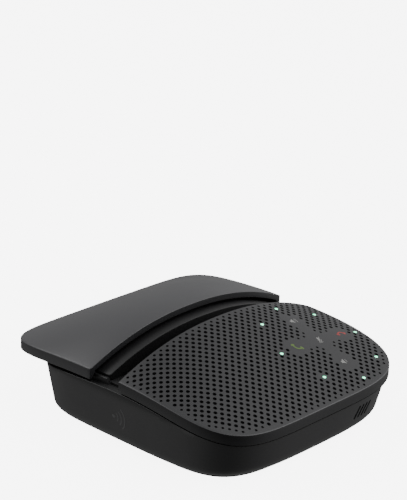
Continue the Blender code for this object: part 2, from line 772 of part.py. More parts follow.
def make_electronics():
    """Boards, battery, microphones and socket."""
    box("main_board", (-44, 16, 16.2), (40, 46, 17.6), BOARD)
    box("shield_can", (-30, 20, 17.9), (-6, 40, 20.4), STEEL, 0.3)
    box("processor", (6, 24, 17.9), (18, 36, 19.4), DARK_ABS)
    box("battery_pack", (-26, -4, 6.2), (26, 24, 13.8), CELL, 0.8)
    box("side_board", (51.2, 10, 10.0), (52.0, 34, 18.0), BOARD)
    for name, y in (("power_switch", POWER_Y), ("pairing_switch", PAIRING_Y)):
        box(name, (52.3, y - 2.6, BUTTON_Z - 2.2), (53.4, y + 2.6, BUTTON_Z + 2.2), STEEL, 0.1)
    for side, x in (("left", -50.0), ("right", 50.0)):
        z = float(top_z(x * 1.07, -5.0)) - SHELL - 1.2
        boot = [(4.4, z), (4.4, z - 3.4), (3.1, z - 3.4), (3.1, z)]
        turned(f"mic_boot_{side}", boot, (x, -5.0, 0), RUBBER, sides=24)
        cylinder(f"microphone_{side}", (x, -5.0, z - 1.6), 2.8, 2.2, STEEL, sides=24)
    jack = [(3.2, 6.4), (3.2, -6.0), (0, -6.0), (0, -5.0), (1.8, -5.0), (1.8, 6.4)]
    turned("headset_jack", drop_axis(jack), (51.5, JACK_Y, BUTTON_Z), DARK_ABS, "X", sides=24)
    box("vent_screen", (21.0, -51.0, 7.2), (35.0, -50.6, 14.0), STEEL)
    box("tag_antenna", (-54.7, -10.0, 8.0), (-54.3, 14.0, 18.5), COPPER)


def make_buttons():
    """Two push buttons in the right-hand wall: a cap that stands proud and a flange that keeps it in."""
    for name, y in (("power_button", POWER_Y), ("pairing_button", PAIRING_Y)):
        half_y, half_z = BUTTON_LENGTH / 2, BUTTON_HEIGHT / 2
        low, high = (54.4, y - half_y, BUTTON_Z - half_z), (59.1, y + half_y, BUTTON_Z + half_z)
        cap = box(name, low, high, DARK_ABS)
        flange = box(name + "_flange", (54.4, y - half_y - 1, BUTTON_Z - half_z - 1),
                     (55.3, y + half_y + 1, BUTTON_Z + half_z + 1), DARK_ABS, collection=cutters)
        join(cap, flange)


make_grille_cap()
make_stand_cover()
make_base_shell()
make_deck()
make_slot_parts()
make_bottom_cover()
make_underside_parts()
make_slide()
make_controls()
make_speaker()
make_chassis()
make_electronics()
make_buttons()

for item in (*parts.objects, *cutters.objects):
    item.location.y -= TRAVEL / 2 * MM
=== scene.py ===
import math

import bmesh
import bpy
import numpy as np
from mathutils import Matrix, Vector
from mathutils.geometry import delaunay_2d_cdt, tessellate_polygon

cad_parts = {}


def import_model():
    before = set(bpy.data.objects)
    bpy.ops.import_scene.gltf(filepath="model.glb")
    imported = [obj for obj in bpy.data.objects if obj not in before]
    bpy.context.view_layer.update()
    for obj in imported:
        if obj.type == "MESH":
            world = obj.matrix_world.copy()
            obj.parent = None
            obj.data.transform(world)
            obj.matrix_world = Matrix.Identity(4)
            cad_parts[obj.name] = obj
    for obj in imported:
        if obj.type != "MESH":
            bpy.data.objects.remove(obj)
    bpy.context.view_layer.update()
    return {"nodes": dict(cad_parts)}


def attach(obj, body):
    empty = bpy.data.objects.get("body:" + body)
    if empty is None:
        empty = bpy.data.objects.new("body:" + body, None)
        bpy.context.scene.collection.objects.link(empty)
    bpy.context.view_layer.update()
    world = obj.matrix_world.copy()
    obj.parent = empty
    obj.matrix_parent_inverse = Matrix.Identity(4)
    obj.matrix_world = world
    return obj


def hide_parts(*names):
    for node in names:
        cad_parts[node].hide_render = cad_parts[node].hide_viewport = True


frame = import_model()
print("frame loaded")

# Lengths are in millimetres from the middle of the base; world() turns them into the frame's metres.
form = {
    "halfWidth": 60.0, "halfDepth": 57.4, "frontPower": 4.7, "rearPower": 7.3,
    "edgePeakZ": 31.6, "edgePeakY": 5.7, "frontDrop": 9.2, "rearDrop": 3.0,
    "crown": 12.5, "crownPower": 1.15, "crossPower": 2.2, "rearRise": 0.24,
    "skirt": 4.7, "splitY": 3.0, "travel": 16.3, "frameShift": 8.15,
}


def world(points):
    return (np.asarray(points, float) - [0.0, form["frameShift"], 0.0]) * 0.001


# The body's form.


def halfWidthAt(y):
    # The outline is a superellipse: |x/a|^n + |y/b|^n = 1, with a blunter n behind than in front.
    y = np.asarray(y, float)
    power = np.where(y > 0, form["rearPower"], form["frontPower"])
    share = np.clip(np.abs(y) / form["halfDepth"], 0, 1)
    return form["halfWidth"] * (1 - share**power) ** (1 / power)


def edgeZ(y):
    # The side edge is an arch, highest near the slot.
    y = np.asarray(y, float)
    front = (form["edgePeakY"] - y) / (form["edgePeakY"] + form["halfDepth"])
    rear = np.clip((y - form["edgePeakY"]) / (form["halfDepth"] - form["edgePeakY"]), 0, None)
    drop = np.where(y < form["edgePeakY"], form["frontDrop"] * front**2, form["rearDrop"] * rear**1.6)
    return form["edgePeakZ"] - drop


def seamZ(y):
    return edgeZ(y) - form["skirt"]


def centreZ(y):
    # On the centre line the top is a power curve up to the split and a cubic from there to the rear edge.
    y = np.asarray(y, float)
    share = np.clip((y + form["halfDepth"]) / (form["splitY"] + form["halfDepth"]), 0, None)
    front = edgeZ(y) + form["crown"] * share ** form["crownPower"]
    start = float(edgeZ(form["splitY"])) + form["crown"]
    run = form["halfDepth"] - form["splitY"]
    fall = start + form["rearRise"] * run - float(edgeZ(form["halfDepth"]))
    past = np.clip(y - form["splitY"], 0, run)
    rear = start + form["rearRise"] * past - 1.5 * fall * (past / run) ** 2 + 0.5 * fall * (past / run) ** 3
    return np.where(y < form["splitY"], front, rear)


def topZ(x, y):
    # z = e(y) + (c(y) - e(y)) (1 - |x/w(y)|^q)
    x, y = np.asarray(x, float), np.clip(np.asarray(y, float), -form["halfDepth"], form["halfDepth"])
    across = np.clip(np.abs(x) / np.maximum(halfWidthAt(y), 0.01), 0, 1)
    low = edgeZ(y)
    return low + (centreZ(y) - low) * (1 - across ** form["crossPower"])


def resample(path, count, closed=False):
    # Points at even steps along a path.
    if closed:
        path = np.concatenate([path, path[:1]])
    along = np.concatenate([[0], np.cumsum(np.linalg.norm(np.diff(path, axis=0), axis=1))])
    wanted = np.linspace(0, along[-1], count + 1)[:-1] if closed else np.linspace(0, along[-1], count)
    return np.stack([np.interp(wanted, along, path[:, k]) for k in range(2)], 1)


def superPath(inset, start, stop):
    # In polar form r = (|cos|^n + |sin|^n)^(-1/n), stretched to the two half sizes.
    angle = np.linspace(start, stop, 1600)
    c, s = np.cos(angle), np.sin(angle)
    power = np.where(s > 0, form["rearPower"], form["frontPower"])
    r = (np.abs(c) ** power + np.abs(s) ** power) ** (-1 / power)
    return np.stack([(form["halfWidth"] - inset) * r * c, (form["halfDepth"] - inset) * r * s], 1)


def wholeOutline(inset, count=320):
    return resample(superPath(inset, 0, 2 * math.pi)[:-1], count, closed=True)


def frontOutline(inset, lineInset, arcCount=220, lineCount=90):
    # The outline in front of the split, closed by a straight line along it.
    back = form["splitY"] - lineInset
    arc = superPath(inset, 0, -math.pi)
    ends = np.array([[arc[0, 0], back]]), np.array([[arc[-1, 0], back]])
    arc = resample(np.concatenate([ends[0], arc, ends[1]]), arcCount)
    line = np.stack([np.linspace(arc[-1, 0], arc[0, 0], lineCount + 2)[1:-1], np.full(lineCount, back)], 1)
    return np.concatenate([arc, line])


def rearOutline(inset, front, arcCount=240, lineCount=100, corner=0.0):
    # The outline behind a straight line at depth front; corner rounds its two front corners.
    arc = superPath(inset, 0, math.pi)
    arc = arc[arc[:, 1] > front + corner]
    side = arc[0, 0]
    turn = np.linspace(0, math.pi / 2, 12)[1:]
    right = np.stack([side - corner * (1 - np.cos(turn)), front + corner * (1 - np.sin(turn))], 1)[::-1]
    left = right[::-1] * [-1, 1]
    arc = resample(np.concatenate([right, arc, left]), arcCount)
    line = np.stack([np.linspace(arc[-1, 0], arc[0, 0], lineCount + 2)[1:-1], np.full(lineCount, front)], 1)
    return np.concatenate([arc, line])


# Meshes.


def ring(plan, z):
    # Gives the points of a plan their heights.
    return np.column_stack([plan, np.broadcast_to(np.asarray(z, float), len(plan))])


def bezierRings(first, middle, last, steps=5):
    # Rounds an edge: B(t) = (1-t)^2 P0 + 2t(1-t) P1 + t^2 P2 at each point round it.
    made = []
    for t in np.linspace(0, 1, steps + 1):
        made.append((1 - t) ** 2 * first + 2 * t * (1 - t) * middle + t**2 * last)
    return made


def skin(rings, poleStart=None, poleEnd=None, wrap=False):
    # Faces between rings of equal count. A pole closes an end, and wrap joins the last ring to the first.
    count, levels = len(rings[0]), len(rings)
    points = np.concatenate(rings)
    i = np.arange(count)
    j = (i + 1) % count
    faces = []
    pairs = [(k, k + 1) for k in range(levels - 1)] + ([(levels - 1, 0)] if wrap else [])
    for low, high in pairs:
        faces += np.stack([low * count + i, low * count + j, high * count + j, high * count + i], 1).tolist()
    if poleStart is not None:
        faces += np.stack([j, i, np.full(count, len(points))], 1).tolist()
        points = np.concatenate([points, [poleStart]])
    if poleEnd is not None:
        last = (levels - 1) * count
        faces += np.stack([last + i, last + j, np.full(count, len(points))], 1).tolist()
        points = np.concatenate([points, [poleEnd]])
    return points, faces


def holedSheet(outer, loops, extra):
    # Triangles between an outline, the loops cut in it, and loose points that carry its curve.
    plan = np.concatenate([outer, *loops, extra])
    owner = np.concatenate([np.full(len(outer), -1)] + [np.full(len(p), k) for k, p in enumerate(loops)]
                           + [np.full(len(extra), -2)])
    edges, start = [], 0
    for p in [outer, *loops]:
        edges += [(start + k, start + (k + 1) % len(p)) for k in range(len(p))]
        start += len(p)
    verts, _, faces, came, _, _ = delaunay_2d_cdt([Vector(p) for p in plan.tolist()], edges, [], 0, 1e-5)
    flat = np.array([(v.x, v.y) for v in verts])
    mark = np.array([owner[c[0]] if c else -2 for c in came])
    tri = np.array(faces)
    m = mark[tri]
    inside = (m[:, 0] >= 0) & (m[:, 0] == m[:, 1]) & (m[:, 0] == m[:, 2])
    a, b, c = flat[tri[:, 0]], flat[tri[:, 1]], flat[tri[:, 2]]
    area = (b - a)[:, 0] * (c - a)[:, 1] - (b - a)[:, 1] * (c - a)[:, 0]
    tri = np.where((area < 0)[:, None], tri[:, ::-1], tri)
    return flat, tri[~inside & (np.abs(area) > 1e-7)]


def outsideLoops(points, loops, margin):
    # True where a point is further than the margin outside every convex loop.
    keep = np.ones(len(points), bool)
    for loop in loops:
        edge = np.roll(loop, -1, axis=0) - loop
        normal = np.stack([edge[:, 1], -edge[:, 0]], 1) / np.linalg.norm(edge, axis=1)[:, None]
        away = ((points[:, None, :] - loop[None]) * normal[None]).sum(2)
        keep &= away.max(1) > margin
    return keep


def makePiece(name, blocks, material, body, sharp=35, weld=True):
    # blocks are pairs of points in millimetres and faces, joined into one piece that moves with a body.
    mesh = bpy.data.meshes.new(name)
    points, faces, start = [], [], 0
    for p, f in blocks:
        points.append(world(p))
        faces += [tuple(int(k) + start for k in face) for face in f]
        start += len(p)
    mesh.from_pydata(np.concatenate(points).tolist(), [], faces)
    if weld:
        tidy = bmesh.new()
        tidy.from_mesh(mesh)
        bmesh.ops.remove_doubles(tidy, verts=tidy.verts, dist=2e-6)
        bmesh.ops.recalc_face_normals(tidy, faces=tidy.faces)
        tidy.to_mesh(mesh)
        tidy.free()
    mesh.shade_smooth()
    mesh.set_sharp_from_angle(angle=math.radians(sharp))
    made = bpy.data.objects.new(name, mesh)
    bpy.context.scene.collection.objects.link(made)
    mesh.materials.append(material)
    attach(made, body)
    return made


# Materials.

finish = {
    # The side tones of the grille and the cover are painted shade for their upright faces.
    "grille": "#2f2f31", "grilleShadedSide": "#19191b", "cover": "#464648", "coverShadedSide": "#2c2c2e",
    # The edge tone is a painted highlight on the rounded edges of the grille and the cover.
    "paintedEdgeHighlight": "#6a6a6c", "base": "#1b1b1c", "deck": "#161617", "inside": "#0d0d0e", "rubber": "#141414",
    "pad": "#1a1a1b", "lamp": "#35e09c", "lampCore": "#a4ffd8", "lampGlow": 4.5, "mottleSize": 14.0,
}


def linear(hexColor):
    # The sRGB curve taken off a hex colour.
    value = [int(hexColor[k:k + 2], 16) / 255 for k in (1, 3, 5)]
    return tuple(v / 12.92 if v <= 0.04045 else ((v + 0.055) / 1.055) ** 2.4 for v in value)


def addNode(tree, kind, links=None, **values):
    # Values are settings or input numbers; links go from an output into a named input.
    node = tree.nodes.new(kind)
    for key, value in values.items():
        if hasattr(node, key):
            setattr(node, key, value)
        else:
            node.inputs[key.replace("_", " ")].default_value = value
    for key, output in (links or {}).items():
        tree.links.new(output, node.inputs[key])
    return node


def mixTones(tree, share, low, high):
    # low and high are each a linear colour or an output that carries one.
    node = addNode(tree, "ShaderNodeMix", {"Factor": share}, data_type="RGBA")
    for key, tone in (("A", low), ("B", high)):
        if isinstance(tone, tuple):
            node.inputs[key].default_value = (*tone, 1)
        else:
            tree.links.new(tone, node.inputs[key])
    return node.outputs["Result"]


def moulded(name, hexColor, roughness, grain=0.28, depth=0.006, mottle=0.05, sheen=0.0, ior=1.5, metallic=0.0,
            spread=0.05, upright=None):
    # grain: size of the surface texture in mm; depth: its height in mm; mottle: how far the tone wanders;
    # spread: how far the roughness wanders; upright: the colour painted on the faces that stand upright, a
    # painted shade that makes them darker than the top.
    made = bpy.data.materials.new(name)
    made.use_nodes = True
    tree = made.node_tree
    shader = tree.nodes["Principled BSDF"]
    place = {"Vector": addNode(tree, "ShaderNodeTexCoord").outputs["Object"]}
    fine = addNode(tree, "ShaderNodeTexNoise", place, Scale=1000 / grain, Detail=2.0, Roughness=0.6)
    broad = addNode(tree, "ShaderNodeTexNoise", place, Scale=1000 / finish["mottleSize"], Detail=3.0,
                    Roughness=0.55)
    plain = linear(hexColor)
    low, high = [tuple(c * scale for c in plain) for scale in (1 - mottle, 1 + mottle)]
    tone = mixTones(tree, broad.outputs["Fac"], low, high)
    # Painted shade: faces that stand upright, the skirts and the walls of the holes, take a darker colour
    # than faces that look up.
    if upright:
        facing = addNode(tree, "ShaderNodeNewGeometry").outputs["True Normal"]
        rise = {"Value": addNode(tree, "ShaderNodeSeparateXYZ", {"Vector": facing}).outputs["Z"]}
        share = addNode(tree, "ShaderNodeMapRange", rise, From_Min=0.25, From_Max=0.75)
        tone = mixTones(tree, share.outputs["Result"], linear(upright), tone)
        # The rounded edges between get a painted highlight: the tone peaks half way round them.
        rising = addNode(tree, "ShaderNodeMapRange", rise, From_Min=0.2, From_Max=0.45)
        falling = addNode(tree, "ShaderNodeMapRange", rise, From_Min=0.8, From_Max=0.55)
        paintedHighlightBand = addNode(tree, "ShaderNodeMath", {0: rising.outputs["Result"], 1: falling.outputs["Result"]},
                          operation="MULTIPLY")
        tone = mixTones(tree, paintedHighlightBand.outputs[0], tone, linear(finish["paintedEdgeHighlight"]))
    tree.links.new(tone, shader.inputs["Base Color"])
    worn = addNode(tree, "ShaderNodeMapRange", {"Value": broad.outputs["Fac"]}, To_Min=roughness - spread,
                   To_Max=roughness + spread)
    tree.links.new(worn.outputs["Result"], shader.inputs["Roughness"])
    bump = addNode(tree, "ShaderNodeBump", {"Height": fine.outputs["Fac"]}, Distance=depth * 0.001,
                   Strength=1.0)
    tree.links.new(bump.outputs["Normal"], shader.inputs["Normal"])
    shader.inputs["IOR"].default_value = ior
    shader.inputs["Metallic"].default_value = metallic
    shader.inputs["Sheen Weight"].default_value = sheen
    made.diffuse_color = (*plain, 1)
    return made


# Textured black ABS: an even, slightly greyed black whose fine spark texture breaks up reflections.
# The grille and the cover carry a painted shade on their upright faces and a painted highlight on their
# rounded edges.
grilleAbs = moulded("mouldedAbsGrille", finish["grille"], 0.46, upright=finish["grilleShadedSide"])
coverAbs = moulded("mouldedAbsCover", finish["cover"], 0.42, upright=finish["coverShadedSide"])
baseAbs = moulded("mouldedAbsBase", finish["base"], 0.44, ior=1.48)
deckAbs = moulded("mouldedAbsDeck", finish["deck"], 0.5, ior=1.48)
# Unpainted inner mouldings: near black and dull.
innerAbs = moulded("innerAbs", finish["inside"], 0.6, grain=0.5)
# Silicone rubber: dull, soft-looking, with a faint dusty sheen.
footRubber = moulded("siliconeRubber", finish["rubber"], 0.82, grain=0.15, depth=0.003, sheen=0.15, ior=1.41)
padRubber = moulded("slotRubber", finish["pad"], 0.78, grain=0.15, depth=0.003, sheen=0.15, ior=1.41)
# Plated steel of the screws and of the small metal pieces inside: bright and slightly brushed.
platedSteel = moulded("platedSteel", "#c4c4c6", 0.3, grain=0.2, depth=0.001, metallic=1.0)
# Nickel plating on the magnet: a grey, soft mirror.
magnetSteel = moulded("nickelMagnet", "#8c8c90", 0.34, metallic=1.0)
# Copper film and wire: warm and bright.
copper = moulded("copperFilm", "#d79a6e", 0.32, metallic=1.0)
# Printed circuit board: green solder mask with a gloss.
boardMask = moulded("solderMask", "#0b5a2a", 0.3, grain=1.2, depth=0.004)
# The battery cell's pouch: pale grey foil, faintly creased, under a clear plastic film.
foilPouch = moulded("cellFoil", "#9aa0a8", 0.35, grain=2.0, depth=0.01, metallic=0.6)
# Pressed paper of the speaker's cone: dull, dark and fibrous.
paper = moulded("pressedPaper", "#202022", 0.85, grain=0.4, depth=0.02)
# Acetal slide rails: black with a waxy half gloss.
acetal = moulded("blackAcetal", "#101010", 0.38)
# Spring steel with a black oxide finish: dark, with a soft metal gleam.
springSteel = moulded("blackOxideSteel", "#2a2a2c", 0.4, grain=0.2, depth=0.001, metallic=1.0)
# Acoustic cloth: a matt black weave that shows only as dark behind the holes.
blackCloth = moulded("acousticCloth", "#040405", 0.98, grain=0.25, depth=0.05)


def glowing(name, hexColor, strength):
    # A lit light guide: the core is over-bright and its rim takes the lamp's colour.
    made = bpy.data.materials.new(name)
    made.use_nodes = True
    tree = made.node_tree
    shader = tree.nodes["Principled BSDF"]
    facing = addNode(tree, "ShaderNodeLayerWeight", Blend=0.4)
    tone = mixTones(tree, facing.outputs["Facing"], linear(finish["lampCore"]), linear(hexColor))
    tree.links.new(tone, shader.inputs["Emission Color"])
    shader.inputs["Emission Strength"].default_value = strength
    shader.inputs["Base Color"].default_value = (*linear(hexColor), 1)
    shader.inputs["Roughness"].default_value = 0.25
    return made


lampMint = glowing("lightGuideAcrylic", finish["lamp"], finish["lampGlow"])
print("materials made")

# Grille cap.


def circle(centre, radius, sides):
    angle = np.arange(sides) * 2 * math.pi / sides
    return np.asarray(centre) + radius * np.stack([np.cos(angle), np.sin(angle)], 1)


def lifted(plan, drop=0.0):
    # Lays a plan on the top surface, or a drop below it.
    return ring(plan, topZ(plan[:, 0], plan[:, 1]) - drop)


# The smooth cross has two bars and five round pads. The holes beside it, out to the soft distances, are
# smaller.
controls = {
    "centre": (30.3, -27.5), "ringRadius": 24.9, "lights": 8,
    "answer": (15.8, -27.4), "hangUp": (45.8, -27.1), "mute": (30.4, -27.5), "up": (30.2, -12.9),
    "down": (30.2, -41.9), "levelBar": 2.9, "uprightBar": 2.3, "mutePad": 6.3, "endPad": 5.2,
    "levelSoft": 5.0, "levelReach": 21, "uprightSoft": 4.2,
}
grille = {
    "pitch": 1.8906, "originX": -45.12, "originY": -10.07, "reachX": 59, "reachY": 56, "margin": 1.5,
    "radius": 0.83, "edgeRadius": 0.6, "edgeBand": 3.0, "lineBand": 2.6, "sides": 16, "lensRadius": 0.72,
    "lensGap": 0.06, "lensClear": 0.2, "lensSides": 20, "thickness": 1.8, "round": 0.5, "lineRound": 0.25,
    "rearWall": 1.0, "rearWallZone": 2.0, "rearWallFoot": 27.5, "gridX": 58, "gridY": 55, "gridStep": 1.6,
    "gridClear": 1.15, "gridInset": 0.5, "gridLineInset": 0.4,
}
lightPlaces = circle(controls["centre"], controls["ringRadius"], controls["lights"])


def distanceToLine(points, a, b):
    # To the nearest point of the segment from a to b.
    a, b = np.asarray(a, float), np.asarray(b, float)
    t = np.clip(((points - a) @ (b - a)) / ((b - a) @ (b - a)), 0, 1)
    return np.linalg.norm(points - a - t[:, None] * (b - a), axis=1)


def insetOf(points):
    # How far inside the outline a point is, found by bisecting the size of the superellipse through it.
    deepest = 55.0
    low, high = np.zeros(len(points)), np.full(len(points), deepest)
    power = np.where(points[:, 1] > 0, form["rearPower"], form["frontPower"])
    for _ in range(30):
        middle = (low + high) / 2
        value = (np.abs(points[:, 0]) / (form["halfWidth"] - middle)) ** power
        value = value + (np.abs(points[:, 1]) / (form["halfDepth"] - middle)) ** power
        low, high = np.where(value < 1, middle, low), np.where(value < 1, high, middle)
    return low


def holePlaces():
    # A square lattice turned by 45 degrees, with the smooth control pads and the lights left clear.
    i, j = np.meshgrid(np.arange(-30, 60), np.arange(-60, 40))
    i, j = i.ravel(), j.ravel()
    x = grille["originX"] + (i - j) * grille["pitch"]
    y = grille["originY"] - (i + j) * grille["pitch"]
    inside = (np.abs(x) < grille["reachX"]) & (np.abs(y) < grille["reachY"])
    inside &= y < form["splitY"] - grille["margin"]
    spots = np.stack([x, y], 1)[inside]
    inset = insetOf(spots)
    spots, inset = spots[inset > grille["margin"]], inset[inset > grille["margin"]]
    level = distanceToLine(spots, controls["answer"], controls["hangUp"])
    upright = distanceToLine(spots, controls["up"], controls["down"])
    clear = (level > controls["levelBar"]) & (upright > controls["uprightBar"])
    clear &= np.linalg.norm(spots - controls["mute"], axis=1) > controls["mutePad"]
    for key in ("answer", "hangUp", "up", "down"):
        clear &= np.linalg.norm(spots - controls[key], axis=1) > controls["endPad"]
    toLight = np.linalg.norm(spots[:, None] - lightPlaces[None], axis=2).min(1)
    clear &= toLight > grille["lensRadius"] + grille["radius"] + grille["lensClear"]
    along = np.abs(spots[:, 0] - controls["centre"][0])
    small = (level < controls["levelSoft"]) & (along < controls["levelReach"])
    small |= upright < controls["uprightSoft"]
    small |= (inset < grille["edgeBand"]) | (spots[:, 1] > form["splitY"] - grille["lineBand"])
    return spots[clear], np.where(small, grille["edgeRadius"], grille["radius"])[clear]


spots, radii = holePlaces()
loops = [circle(c, r, grille["sides"]) for c, r in zip(spots, radii)]
loops += [circle(c, grille["lensRadius"] + grille["lensGap"], grille["lensSides"]) for c in lightPlaces]
softFront = frontOutline(grille["round"], grille["lineRound"])
gridX, gridY = np.meshgrid(np.arange(-grille["gridX"], grille["gridX"] + 0.1, grille["gridStep"]),
                           np.arange(-grille["gridY"], form["splitY"], grille["gridStep"]))
extra = np.stack([gridX.ravel(), gridY.ravel()], 1)
extra = extra[insetOf(extra) > grille["round"] + grille["gridInset"]]
extra = extra[extra[:, 1] < form["splitY"] - grille["lineRound"] - grille["gridLineInset"]]
allCentres = np.concatenate([spots, lightPlaces])
extra = extra[np.linalg.norm(extra[:, None] - allCentres[None], axis=2).min(1) > grille["gridClear"]]
flat, triangles = holedSheet(softFront, loops, extra)
wallRings = [skin([lifted(p), lifted(p, grille["thickness"])]) for p in loops]
innerSheet = (lifted(flat, grille["thickness"]), triangles[:, ::-1].tolist())

edgeFront = frontOutline(0.0, 0.0)
isLine = np.abs(edgeFront[:, 1] - form["splitY"]) < 1e-6
edgeTop = lifted(edgeFront)
below = edgeTop - [0, 0, 1] * np.where(isLine, grille["lineRound"], grille["round"])[:, None]
rounded = bezierRings(lifted(softFront), edgeTop, below)


def grilleFoot(plan):
    # The cap ends at the seam, and its rear wall, inside the slot, ends higher up.
    back = plan[:, 1] > form["splitY"] - grille["rearWallZone"]
    return np.where(back, grille["rearWallFoot"], seamZ(plan[:, 1]))


footRound = 0.35
footPlan = frontOutline(footRound, footRound)
innerPlan = frontOutline(grille["thickness"], grille["rearWall"])
foot = grilleFoot(edgeFront)
rounded += bezierRings(ring(edgeFront, foot + footRound), ring(edgeFront, foot), ring(footPlan, foot), 3)
rounded.append(ring(innerPlan, foot))
rounded.append(lifted(innerPlan, grille["thickness"]))
rounded.append(lifted(softFront, grille["thickness"]))
grilleBlocks = [(lifted(flat), triangles.tolist()), innerSheet, *wallRings, skin(rounded)]
grilleCap = makePiece("perforatedGrille", grilleBlocks, grilleAbs, "base", sharp=38)
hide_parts("grille_cap")
print("grille made:", len(spots), "holes")

weave = {"inset": 3.0, "lineInset": 2.2, "centre": (0.0, -26.0), "drop": 2.05, "levels": 14}
clothEdge = frontOutline(weave["inset"], weave["lineInset"])
clothRings = []
for share in np.linspace(0.02, 1, weave["levels"]):
    clothRings.append(lifted(clothEdge * share + np.array(weave["centre"]) * (1 - share), weave["drop"]))
cloth = makePiece("grilleCloth", [skin(clothRings)], blackCloth, "base", weld=False)

# Lights and printed marks.

guide = {
    "inner": 23.2, "outer": 26.2, "top": 2.3, "bottom": 3.3, "sides": 96, "lensSides": 24, "lensLevels": 8,
    "lensRise": 0.12, "lensDepth": 1.4,
}


def lens(centre):
    # A shallow dome, z = rise (1 - (r/R)^2), on a short cylinder.
    radius, rise, sides = grille["lensRadius"], guide["lensRise"], guide["lensSides"]
    top = float(topZ(*centre))
    rings = []
    for share in np.linspace(0.1, 1, guide["lensLevels"]):
        rings.append(ring(circle(centre, radius * share, sides), top + rise * (1 - share**2)))
    rings.append(ring(circle(centre, radius, sides), top - guide["lensDepth"]))
    return skin(rings, poleStart=(*centre, top + rise))


guideRings = []
for radius, drop in (("inner", "top"), ("outer", "top"), ("outer", "bottom"), ("inner", "bottom")):
    guideRings.append(lifted(circle(controls["centre"], guide[radius], guide["sides"]), guide[drop]))
guideBlocks = [skin(guideRings, wrap=True)] + [lens(c) for c in lightPlaces]
lamp = makePiece("lightGuide", guideBlocks, lampMint, "base")
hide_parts("light_guide")


def band(radius, width, start, stop, centre=(0.0, 0.0), count=18):
    # A stripe along an arc.
    angle = np.radians(np.linspace(start, stop, count))
    unit = np.stack([np.cos(angle), np.sin(angle)], 1)
    return np.concatenate([(radius - width / 2) * unit, (radius + width / 2) * unit[::-1]]) + centre


def block(low, high):
    return np.array([(low[0], low[1]), (high[0], low[1]), (high[0], high[1]), (low[0], high[1])], float)


def pill(start, stop, radius, count=9):
    # A straight stripe with round ends.
    start, stop = np.asarray(start, float), np.asarray(stop, float)
    heading = math.atan2(*(stop - start)[::-1])
    turn = np.linspace(-math.pi / 2, math.pi / 2, count) + heading
    tip = stop + radius * np.stack([np.cos(turn), np.sin(turn)], 1)
    tail = start + radius * np.stack([np.cos(turn + math.pi), np.sin(turn + math.pi)], 1)
    return np.concatenate([tip, tail])


def turned(shapes, degrees):
    # Turned about the origin, anticlockwise.
    a = math.radians(degrees)
    return [s @ np.array([[math.cos(a), math.sin(a)], [-math.sin(a), math.cos(a)]]) for s in shapes]


handset = [
    band(1.75, 0.62, 28, 152, (0, -1.0)),
    pill((1.55, -0.55), (2.05, -0.2), 0.48),
    pill((-1.55, -0.55), (-2.05, -0.2), 0.48),
]
microphone = [
    pill((0, 0.15), (0, 1.1), 0.5),
    band(0.95, 0.24, 180, 360, (0, 0.15)),
    block((-0.12, -1.35), (0.12, -0.75)),
    block((-0.6, -1.55), (0.6, -1.3)),
    pill((-1.3, -1.4), (1.3, 1.6), 0.14),
]
horn = np.array([(-1.7, -0.5), (-1.0, -0.5), (-0.2, -1.25), (-0.2, 1.25), (-1.0, 0.5), (-1.7, 0.5)])
quiet = [horn, band(1.0, 0.24, -38, 38, (-0.3, 0))]
loud = [*quiet, band(1.75, 0.24, -38, 38, (-0.3, 0))]


def printed(name, shapes, centre, material, scale=1.0):
    # A pad-printed mark lies 0.03 mm above the dome.
    blocks = []
    for shape in shapes:
        plan = shape * scale + np.asarray(centre)
        faces = tessellate_polygon([[Vector((x, y, 0)) for x, y in plan]])
        blocks.append((lifted(plan, -0.03), faces))
    made = makePiece(name, blocks, material, "base", weld=False)
    for polygon in made.data.polygons:
        if polygon.normal.z < 0:
            polygon.flip()


def ink(name, hexColor, glow):
    # Pad-printed ink: a thin satin film with a painted glow, a faint emission that makes it look a little
    # brighter than the plastic round it.
    made = moulded(name, hexColor, 0.4, grain=0.3, depth=0.002)
    shader = made.node_tree.nodes["Principled BSDF"]
    # Painted light: the ink glows faintly though it is no lamp.
    shader.inputs["Emission Color"].default_value = (*linear(hexColor), 1)
    shader.inputs["Emission Strength"].default_value = glow
    return made


# Each mark: its shapes, centre and scale, then its ink's name, colour and painted glow.
hangUpSpot = np.array(controls["hangUp"]) + [0, 0.3]
marks = {
    "answerMark": (turned(handset, 135), controls["answer"], 1.15, "greenInk", "#55702a", 0.15),
    "hangUpMark": (handset, hangUpSpot, 1.15, "redInk", "#8f2420", 0.25),
    "muteMark": (microphone, controls["mute"], 1.1, "greyInk", "#8a8a88", 0.1),
    "louderMark": (loud, controls["up"], 1.25, "paleInk", "#8e8e8c", 0.1),
    "quieterMark": (quiet, controls["down"], 1.25, "paleInkSecond", "#8e8e8c", 0.1),
}
for name, (shapes, spot, scale, *inkOf) in marks.items():
    printed(name, shapes, spot, ink(*inkOf), scale)
print("lights and marks made")

# Stand cover.

cover = {
    "front": 3.3, "thickness": 2.0, "round": 0.5, "lineRound": 0.3, "frontHeight": 2.9, "frontZone": 2.5,
    "sideFoot": 1.9, "sideBlend": 0.45, "lineZone": 0.6, "corner": 1.0, "centre": (0.0, 31.0), "levels": 30,
}


def coverPlan(inset, lineInset):
    return rearOutline(inset, cover["front"] + lineInset, corner=max(cover["corner"] - inset, 0.05))


def coverFoot(plan):
    # The front edge is open above the deck; within 2 mm of the sides it comes down to the skirt.
    inward = form["halfWidth"] - cover["sideFoot"] - np.abs(plan[:, 0])
    front = (plan[:, 1] < cover["front"] + cover["frontZone"]) & (inward > 0)
    share = np.clip(inward / cover["sideBlend"], 0, 1)
    low, high = seamZ(plan[:, 1]), topZ(plan[:, 0], plan[:, 1]) - cover["frontHeight"]
    return np.where(front, low + share * (high - low), low)


def shared(plan, share):
    # Shrinks a plan towards the middle of the cover.
    centre = np.array(cover["centre"])
    return centre + share * (plan - centre)


